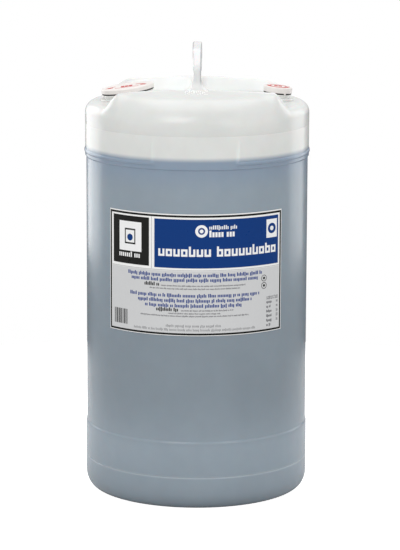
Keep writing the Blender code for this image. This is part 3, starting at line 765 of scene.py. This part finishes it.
def make_neck(bung, material):
    """The threaded insert fused into the head. Its flange carries the dust ring."""
    flange_top = SKIRT_BOTTOM - DUST_RING_THICK - 2 * GAP
    flange_bottom = flange_top - NECK_FLANGE_THICK
    flange_radius = bung.cap_radius - 2 * SKIRT_LIP
    foot = bung.neck_radius - NECK_FOOT_INSET
    turns = [(bung.bore_radius + 0.35 * MM * (step % 2), -3 * MM - bung.pitch / 2 * step)
             for step in range(int(18 * MM / bung.pitch * 2))]
    corners = [(bung.bore_radius, NECK_END, 0)] + [(r, z, bung.pitch / 8) for r, z in reversed(turns)]
    corners += [(bung.bore_radius, -0.5 * MM, 0), (bung.bore_radius + 0.6 * MM, 0, 0.3 * MM),
                (bung.neck_radius, 0, 0.6 * MM), (bung.neck_radius, flange_top, 0.4 * MM),
                (flange_radius, flange_top, 0.4 * MM), (flange_radius, flange_bottom, 0.4 * MM),
                (foot, flange_bottom, 0.4 * MM), (foot, NECK_END, 0)]
    bm = turned(rounded(corners, 3), bung.sides)
    name = f"neck_{bung.tag}"
    finished(f"threaded_{name}", bm, material, "drum", name, bung_frame(bung))


def flat_ring(bung, inner, outer, low, top, outer_round, inner_round):
    """A ring of rectangular section with rounded edges."""
    middle = (inner + outer) / 2
    corners = [(middle, top, 0), (outer, top, outer_round), (outer, low, outer_round),
               (inner, low, inner_round), (inner, top, inner_round), (middle - 0.1 * MM, top, 0)]
    return turned(rounded(corners), bung.sides)


def make_dust_ring(bung, material):
    """The rubber ring round the foot of the neck, under the overcap's skirt."""
    top = SKIRT_BOTTOM - GAP
    bm = flat_ring(bung, bung.neck_radius + GAP, bung.cap_radius - SKIRT_LIP, top - DUST_RING_THICK, top,
                   0.6 * MM, 0.3 * MM)
    name = f"dust_ring_{bung.tag}"
    finished(f"rubber_{name}", bm, material, "drum", name, bung_frame(bung))


def make_gasket(bung, material):
    """The rubber ring between the neck's rim and the plug's flange."""
    bm = flat_ring(bung, bung.bore_radius + GAP, bung.neck_radius - GAP, GAP, GAP + GASKET_THICK,
                   0.5 * MM, 0.5 * MM)
    name = f"plug_gasket_{bung.tag}"
    body = f"gasket_{bung.tag}"
    finished(f"rubber_{name}", bm, material, body, name, bung_frame(bung))


def cut_thread(bm, bung, low, high):
    """Moves the barrel's outside in and out along a helix, fading out at both ends."""
    for vert in bm.verts:
        off_barrel = abs(math.hypot(vert.co.x, vert.co.y) - bung.thread_root)
        if not low < vert.co.z < high or off_barrel > 0.1 * MM:
            continue
        turn = math.atan2(vert.co.y, vert.co.x) / math.tau
        phase = (vert.co.z / bung.pitch - turn) % 1.0
        ridge = smooth(1.6 - abs(phase - 0.5) * 4.2)
        fade = smooth(min(vert.co.z - low, high - vert.co.z) / (bung.pitch / 2))
        scale = blend(bung.thread_root, bung.thread_crest, ridge * fade) / bung.thread_root
        vert.co.x *= scale
        vert.co.y *= scale


def make_plug(bung, material):
    """The plug: a threaded barrel open below, a flange on the gasket, and a recess with four lugs above."""
    flange_low = GASKET_THICK + 2 * GAP
    flange_high = flange_low + bung.flange_thick
    flange_radius = bung.neck_radius - GAP
    soft = min(1.0 * MM, bung.flange_thick * 0.35)
    upper = [(0, WEB_TOP - 0.6 * MM, 0), (bung.recess_radius * 0.12, WEB_TOP - 0.6 * MM, 0.2 * MM),
             (bung.recess_radius * 0.16, WEB_TOP, 0.3 * MM), (bung.recess_radius, WEB_TOP, soft),
             (bung.recess_radius, flange_high, soft * 0.6), (flange_radius, flange_high, soft),
             (flange_radius, flange_low, soft * 0.4), (bung.thread_root, flange_low, 0)]
    thread_high, thread_low = THREAD_START, bung.barrel_end + 0.5 * MM
    rows = math.ceil((thread_high - thread_low) / bung.pitch * 14)
    barrel = [(bung.thread_root, blend(thread_high, thread_low, row / rows)) for row in range(rows + 1)]
    lower = [(bung.thread_root - 0.5 * MM, bung.barrel_end), (bung.hollow_radius, bung.barrel_end),
             (bung.hollow_radius, WEB_BOTTOM), (0, WEB_BOTTOM)]
    bm = turned(rounded(upper) + barrel + lower, bung.sides)
    cut_thread(bm, bung, thread_low, thread_high)
    plug = rough_object(f"threaded_plug_{bung.tag}", bm, bung_frame(bung))
    for quarter in range(4):
        spot = bung_frame(bung) @ Matrix.Rotation(math.tau * quarter / 4, 4, "Z")
        low = (bung.recess_radius - bung.lug_length, -bung.lug_width / 2, WEB_TOP - 0.5 * MM)
        high = (bung.recess_radius + 0.5 * MM, bung.lug_width / 2, flange_high - LUG_DROP)
        combine(plug, "UNION", rough_object("lug", rounded_box(low, high, 0.5 * MM), spot))
    surfaced(plug, material, math.radians(38))
    placed(plug, f"plug_{bung.tag}", f"plug_{bung.tag}")


def make_capseal(bung, material):
    """The overcap pressed over plug and neck, with a small tear tab reaching down over the dust ring."""
    inner_top = GASKET_THICK + 3 * GAP + bung.flange_thick
    top = inner_top + bung.cap_thick
    bore = bung.cap_radius - SKIRT_THICK
    radius = bung.cap_radius
    corners = [(0, top, 0), (radius, top, CAP_EDGE), (radius, SKIRT_BOTTOM, 0.35 * MM),
               (bore - SKIRT_LIP, SKIRT_BOTTOM, 0.2 * MM), (bore - SKIRT_LIP, 0, 0.3 * MM),
               (bore, SKIRT_LIP, 0.2 * MM), (bore, inner_top, 0.5 * MM), (0, inner_top, 0)]
    bm = turned(rounded(corners, 6), bung.sides)
    cap = rough_object(f"printed_capseal_{bung.tag}", bm, bung_frame(bung))
    spot = bung_frame(bung) @ Matrix.Rotation(bung.tab_angle, 4, "Z")
    low = (radius - TAB_SINK, -TAB_WIDTH / 2, SKIRT_BOTTOM - DUST_RING_THICK - GAP)
    high = (radius + TAB_PROUD, TAB_WIDTH / 2, SKIRT_BOTTOM + TAB_WIDTH)
    combine(cap, "UNION", rough_object("tab", rounded_box(low, high, 0.25 * MM), spot))
    surfaced(cap, material, math.radians(38))
    placed(cap, f"capseal_{bung.tag}", f"capseal_{bung.tag}")


def flat_arc(bm, radius, width, start, end, low, high, centre=(0.0, 0.0), steps=24):
    """A raised flat arc in the xy plane, between two angles in degrees."""
    rows = []
    for step in range(steps + 1):
        turn = math.radians(blend(start, end, step / steps))
        corners = ((radius - width / 2, low), (radius + width / 2, low), (radius + width / 2, high),
                   (radius - width / 2, high))
        rows.append([bm.verts.new((centre[0] + r * math.cos(turn), centre[1] + r * math.sin(turn), z))
                     for r, z in corners])
    bridge(bm, rows)


def make_cap_print(bung, material):
    """Plain red arcs and bars printed on an overcap, where a real one carries its lettering."""
    top = GASKET_THICK + 3 * GAP + bung.flange_thick + bung.cap_thick
    low, high = top + 0.01 * MM, top + 0.05 * MM
    bm = bmesh.new()
    for radius, width, start, end, centre_x, centre_y in CAP_ARCS[bung.tag]:
        flat_arc(bm, radius * MM, width * MM, start, end, low, high, (centre_x * MM, centre_y * MM))
    bars, bar_low, bar_high = CAP_BARS[bung.tag]
    for x in bars:
        add_box(bm, (x * MM, bar_low * MM, low), ((x + CAP_BAR_WIDTH) * MM, bar_high * MM, high))
    name = f"red_print_{bung.tag}"
    finished(name, bm, material, f"capseal_{bung.tag}", None, bung_frame(bung))


# ---------------- label

def wrapped(u, z, height):
    """The point u along the label from the drum's front and height above the film, all in millimetres."""
    angle = u * MM / FILM_RADIUS - math.pi / 2
    radius = FILM_RADIUS + height * MM
    return radius * math.cos(angle), radius * math.sin(angle), z * MM


def add_patch(bm, u_low, u_high, z_low, z_high, low, high):
    """A thin closed patch wrapped on the drum, from height low to high above the film."""
    steps = max(1, math.ceil((u_high - u_low) / 3))
    rows = []
    for step in range(steps + 1):
        u = blend(u_low, u_high, step / steps)
        rows.append([bm.verts.new(wrapped(u, z, height))
                     for z, height in ((z_low, low), (z_high, low), (z_high, high), (z_low, high))])
    bridge(bm, rows)


def add_frame(bm, u_low, u_high, z_low, z_high, width, low, high):
    """Four thin patches round a rectangle."""
    for z in (z_low, z_high - width):
        add_patch(bm, u_low, u_high, z, z + width, low, high)
    for u in (u_low, u_high - width):
        add_patch(bm, u, u + width, z_low + width, z_high - width, low, high)


def add_ring(bm, u, z, radius, inner, low, high, steps=36):
    """A thin closed ring, or a disc where inner is 0, wrapped on the drum."""
    inner = max(inner, 0.02)
    rows = []
    for step in range(steps):
        turn = math.tau * step / steps
        across, up = math.cos(turn), math.sin(turn)
        rows.append([bm.verts.new(wrapped(u + r * across, z + r * up, height))
                     for r, height in ((inner, low), (radius, low), (radius, high), (inner, high))])
    bridge(bm, rows, closed=True)


def add_words(bm, draw, u_low, u_high, base, x_height, low, high, stroke=0.62, words=None):
    """A line of made-up word shapes: short upright strokes of uneven height, with gaps between words."""
    pitch = x_height * 0.62
    u = u_low
    while u < u_high - pitch:
        letters = draw.choice((2, 4, 5, 6, 7, 8, 9)) if words is None else words.pop(0)
        for _ in range(letters):
            if u > u_high - pitch * 0.8:
                return
            rise = draw.choice((1.0, 1.0, 1.0, 1.38))
            drop = draw.choice((0.0, 0.0, 0.0, 0.0, 0.3))
            add_patch(bm, u, u + pitch * stroke, base - drop * x_height, base + rise * x_height, low, high)
            u += pitch
        u += pitch * 0.8


def add_blocks(bm, draw, u, pitch, count, base, height, low, high):
    """A headline of made-up block shapes: closed or open squares of heavy strokes, some of them taller."""
    width, stroke = pitch * 0.83, pitch * 0.27
    for _ in range(count):
        rise = draw.choice((0.0, 0.0, 0.38)) * height
        top = base + height
        add_patch(bm, u, u + stroke, base, top + rise, low, high)
        add_patch(bm, u + width - stroke, u + width, base, top, low, high)
        shape = draw.choice(("closed", "open above", "open below"))
        if shape != "open above":
            add_patch(bm, u + stroke, u + width - stroke, top - stroke, top, low, high)
        if shape != "open below":
            add_patch(bm, u + stroke, u + width - stroke, base, base + stroke, low, high)
        u += pitch


def layer(level):
    """(low, high) of an ink layer above the film, in millimetres."""
    return INK_START + (level - 1) * INK_STEP, level * INK_STEP


def ink(name, material, bm):
    finished(name, bm, material, "drum")


def make_panels(inks):
    """The grey ground, the black border and panel, the blue panel and the thin rules."""
    for name, colour, patches in PANELS:
        bm = bmesh.new()
        if colour == "black":
            add_frame(bm, *BORDER, BORDER_WIDTH, *layer(1))
        for patch in patches:
            add_patch(bm, *patch, *layer(1))
        ink(name, inks[colour], bm)


def make_emblems(inks, draw):
    """Plain squares, rings and a headline of made-up blocks on the black and blue panels."""
    second, third = layer(2), layer(3)
    white, marks = bmesh.new(), bmesh.new()
    add_frame(white, *EMBLEM, EMBLEM_WIDTH, *second)
    add_patch(white, *EMBLEM_MIDDLE, *second)
    add_words(white, draw, -129.5, -86.0, 398.5, 6.2, *second, words=[7, 9])
    add_ring(white, *BADGE, 9.8, 5.4, *second)
    add_ring(white, *BADGE, 3.0, 0, *second)
    add_words(white, draw, 22.5, 67.0, 447.5, 4.6, *second, stroke=0.6, words=[11, 9])
    add_words(white, draw, 22.5, 66.0, 435.5, 7.6, *second, stroke=0.72, words=[5, 9])
    add_patch(white, *SIDE_BADGE, *second)
    for left, pitch, count in ((-57.5, 12.1, 7), (34.5, 11.8, 9)):
        add_blocks(white, draw, left, pitch, count, *HEADLINE, *second)
    ink("label_white", inks["white"], white)
    add_ring(marks, *DOT, 5.4, 0, *third)
    add_ring(marks, *SIDE_RING, 8.2, 3.6, *third)
    ink("label_marks", inks["blue"], marks)


def make_bold_print(inks, draw):
    """The lines in blue, the two bold words, the bar pattern and the two round symbols."""
    second = layer(2)
    words, bold = bmesh.new(), bmesh.new()
    for u_low, u_high, base in BLUE_LINES:
        add_words(words, draw, u_low, u_high, base, 4.1, *second, stroke=0.7)
    ink("label_blue_words", inks["blue_words"], words)
    add_words(bold, draw, -81, -56, 357.4, 4.2, *second, stroke=0.7, words=[7, 9])
    add_words(bold, draw, -61, -24, 318.2, 4.2, *second, stroke=0.7, words=[10, 9])
    add_bars(bold, draw, *BARS)
    for symbol in SYMBOLS:
        add_ring(bold, *symbol, 5.2, 4.3, *second)
        add_ring(bold, *symbol, 2.1, 0, *second)
    ink("label_bold_words", inks["black"], bold)


def make_small_print(inks, draw):
    """The faint small lines, the two lines at the foot and the small table at the right."""
    second = layer(2)
    small = bmesh.new()
    for u_low, u_high, base in SMALL_LINES:
        add_words(small, draw, u_low, u_high, base, 1.7, *second, stroke=0.66)
    add_words(small, draw, -45, 45, 293.4, 3.0, *second, stroke=0.42)
    add_words(small, draw, -100, 100, 287.2, 2.8, *second, stroke=0.42)
    for row in range(TABLE_ROWS):
        base = TABLE_TOP - TABLE_PITCH * row
        add_words(small, draw, 120.5, 132.5, base, 3.0, *second, stroke=0.75)
        if row < TABLE_ROWS - 1:
            add_words(small, draw, 141.0, 145.5, base, 3.4, *second, stroke=0.55)
    for base in (330.8, 333.6):
        add_words(small, draw, 121, 145, base, 1.8, *second, stroke=0.6)
    ink("label_small_words", inks["faint"], small)


def add_bars(bm, draw, left, right, z_low, z_high):
    """A made-up bar pattern."""
    u = left
    while u < right:
        width = draw.choice((0.7, 1.0, 1.6, 2.2))
        add_patch(bm, u, u + width, z_low, z_high, *layer(2))
        u += width + draw.choice((0.7, 1.0, 1.4))


def make_label():
    """The label's sheet and everything printed on it. None of it is a real mark or word."""
    draw = random.Random(15)
    inks = {
        "grey": print_material("label_grey", (0.63, 0.635, 0.64), 0.32, 0.04),
        "black": print_material("ink_black", (0.011, 0.011, 0.010)),
        "blue": print_material("ink_blue", (0.001, 0.038, 0.195)),
        "blue_words": print_material("ink_blue_words", (0.02, 0.055, 0.24)),
        "rule": print_material("ink_rule", (0.42, 0.42, 0.43)),
        "white": print_material("ink_white", (0.88, 0.88, 0.88), 0.32, 0.03),
        "faint": print_material("ink_faint", (0.15, 0.15, 0.16)),
    }
    film = bmesh.new()
    add_patch(film, *LABEL_SHEET, -LABEL_THICK / MM, 0.0)
    white = print_material("label_film_white", (0.88, 0.88, 0.87), 0.32, 0.03)
    finished("label_sheet", film, white, "drum", "front_label")
    make_panels(inks)
    make_emblems(inks, draw)
    make_bold_print(inks, draw)
    make_small_print(inks, draw)


# ---------------- stage

def add_light(name, place, aim, width, height, power):
    data = bpy.data.lights.new(name, "AREA")
    data.shape = "RECTANGLE"
    data.size, data.size_y = width, height
    data.energy = power
    light = added(name, data)
    light.visible_camera = False
    light.location = place
    light.rotation_euler = (Vector(aim) - Vector(place)).to_track_quat("-Z", "Y").to_euler()


def make_world():
    """A white background. Its light is even above the horizon, and fades below it towards the back."""
    world = bpy.data.worlds.new("soft_white")
    bpy.context.scene.world = world
    nodes = Nodes(world)
    way = nodes.add("ShaderNodeSeparateXYZ", {0: nodes.places["Generated"]}).outputs
    colour = nodes.ramp(nodes.ranged(way["Y"], -1.0, 1.0, 0.0, 1.0), GROUND_SHADES).outputs["Color"]
    above = nodes.ranged(way["Z"], -HORIZON_HALF, HORIZON_HALF, 0.0, 1.0)
    seen = nodes.add("ShaderNodeLightPath").outputs["Is Camera Ray"]
    for share, shade in ((above, SKY_SHADE), (seen, 1.0)):
        colour = nodes.mixed(share, colour, (shade, shade, shade))
    nodes.tree.links.new(colour, nodes.tree.nodes["Background"].inputs["Color"])


def make_floor():
    bm = bmesh.new()
    bmesh.ops.create_circle(bm, cap_ends=True, segments=96, radius=STAGE_RADIUS)
    floor = rough_object("floor", bm)
    floor.location.z = cad_low.z
    floor.data.materials.append(floor_material())


def make_camera():
    """The camera stands 4.5 m in front of the drum and 1.2 m above its base, and looks a little down."""
    data = bpy.data.cameras.new("camera")
    data.lens, data.sensor_width = LENS, SENSOR_WIDTH
    data.clip_start, data.clip_end = 0.1, 50.0
    camera = added("camera", data)
    stand = Matrix.Rotation(CAMERA_TURN, 4, "Z") @ Matrix.Translation(CAMERA_PLACE)
    heading = Matrix.Rotation(-CAMERA_YAW, 4, "Z") @ Matrix.Rotation(math.pi / 2 - CAMERA_PITCH, 4, "X")
    camera.matrix_world = stand @ heading @ Matrix.Rotation(CAMERA_ROLL, 4, "Z")
    bpy.context.scene.camera = camera


def make_stage():
    make_world()
    make_floor()
    make_camera()
    for light in LIGHTS:
        add_light(*light)
    bpy.context.scene.view_settings.view_transform = "Standard"


# ---------------- all together

def main():
    white = plastic_material("white_hdpe_moulded", (0.84, 0.84, 0.82), (0.79, 0.79, 0.76), 0.36)
    cream = plastic_material("cap_white_moulded", (0.755, 0.715, 0.69), (0.715, 0.675, 0.65), 0.42)
    rubber = rubber_material()
    red = print_material("red_ink", (0.50, 0.003, 0.004), 0.4)
    natural = drum_material()
    make_drum(natural)
    make_mould_marks(plastic_material("natural_hdpe_marks", (0.93, 0.93, 0.92), (0.86, 0.86, 0.85), 0.4))
    for bung in BUNGS:
        make_neck(bung, white)
        make_dust_ring(bung, rubber)
        make_gasket(bung, rubber)
        make_plug(bung, white)
        make_capseal(bung, cream)
        make_cap_print(bung, red)
    make_label()
    make_stage()


main()
